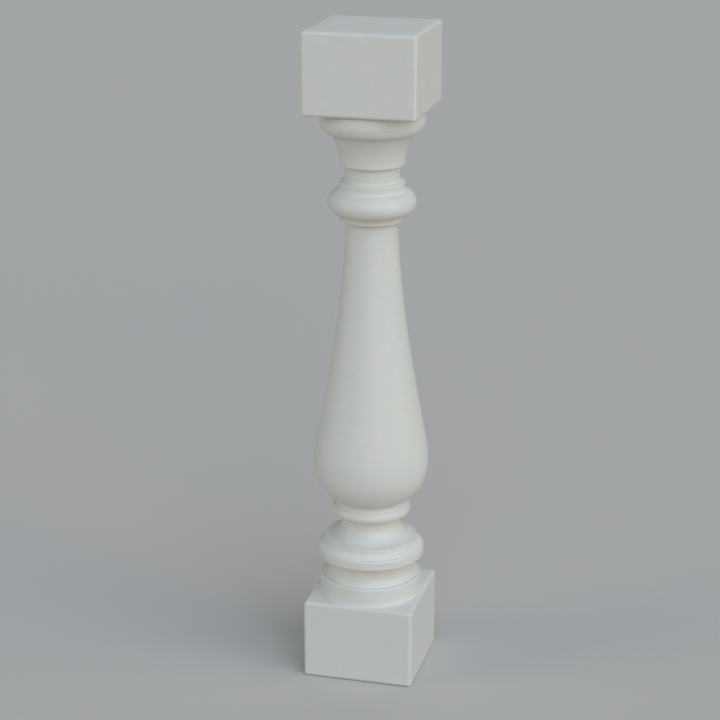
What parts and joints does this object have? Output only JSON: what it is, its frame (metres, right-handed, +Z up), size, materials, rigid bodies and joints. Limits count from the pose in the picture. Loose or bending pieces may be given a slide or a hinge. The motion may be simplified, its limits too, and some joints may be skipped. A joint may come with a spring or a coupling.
{
  "type": "stone baluster",
  "caption": "Turned stone baluster with a square base block, a tapering vase stem, a ringed collar and a square cap block, to carry a balustrade rail.",
  "frame": {"origin": "centre of the underside of the square base block", "axes": "+Z up the axis of the turned stem; +X and +Y square to the sides of the two blocks"},
  "size_m": [0.1258, 0.1258, 0.7167],
  "materials": {
    "stone": "matte"
  },
  "bodies": {
    "root": {"baluster": "stone"}
  },
  "joints": []
}
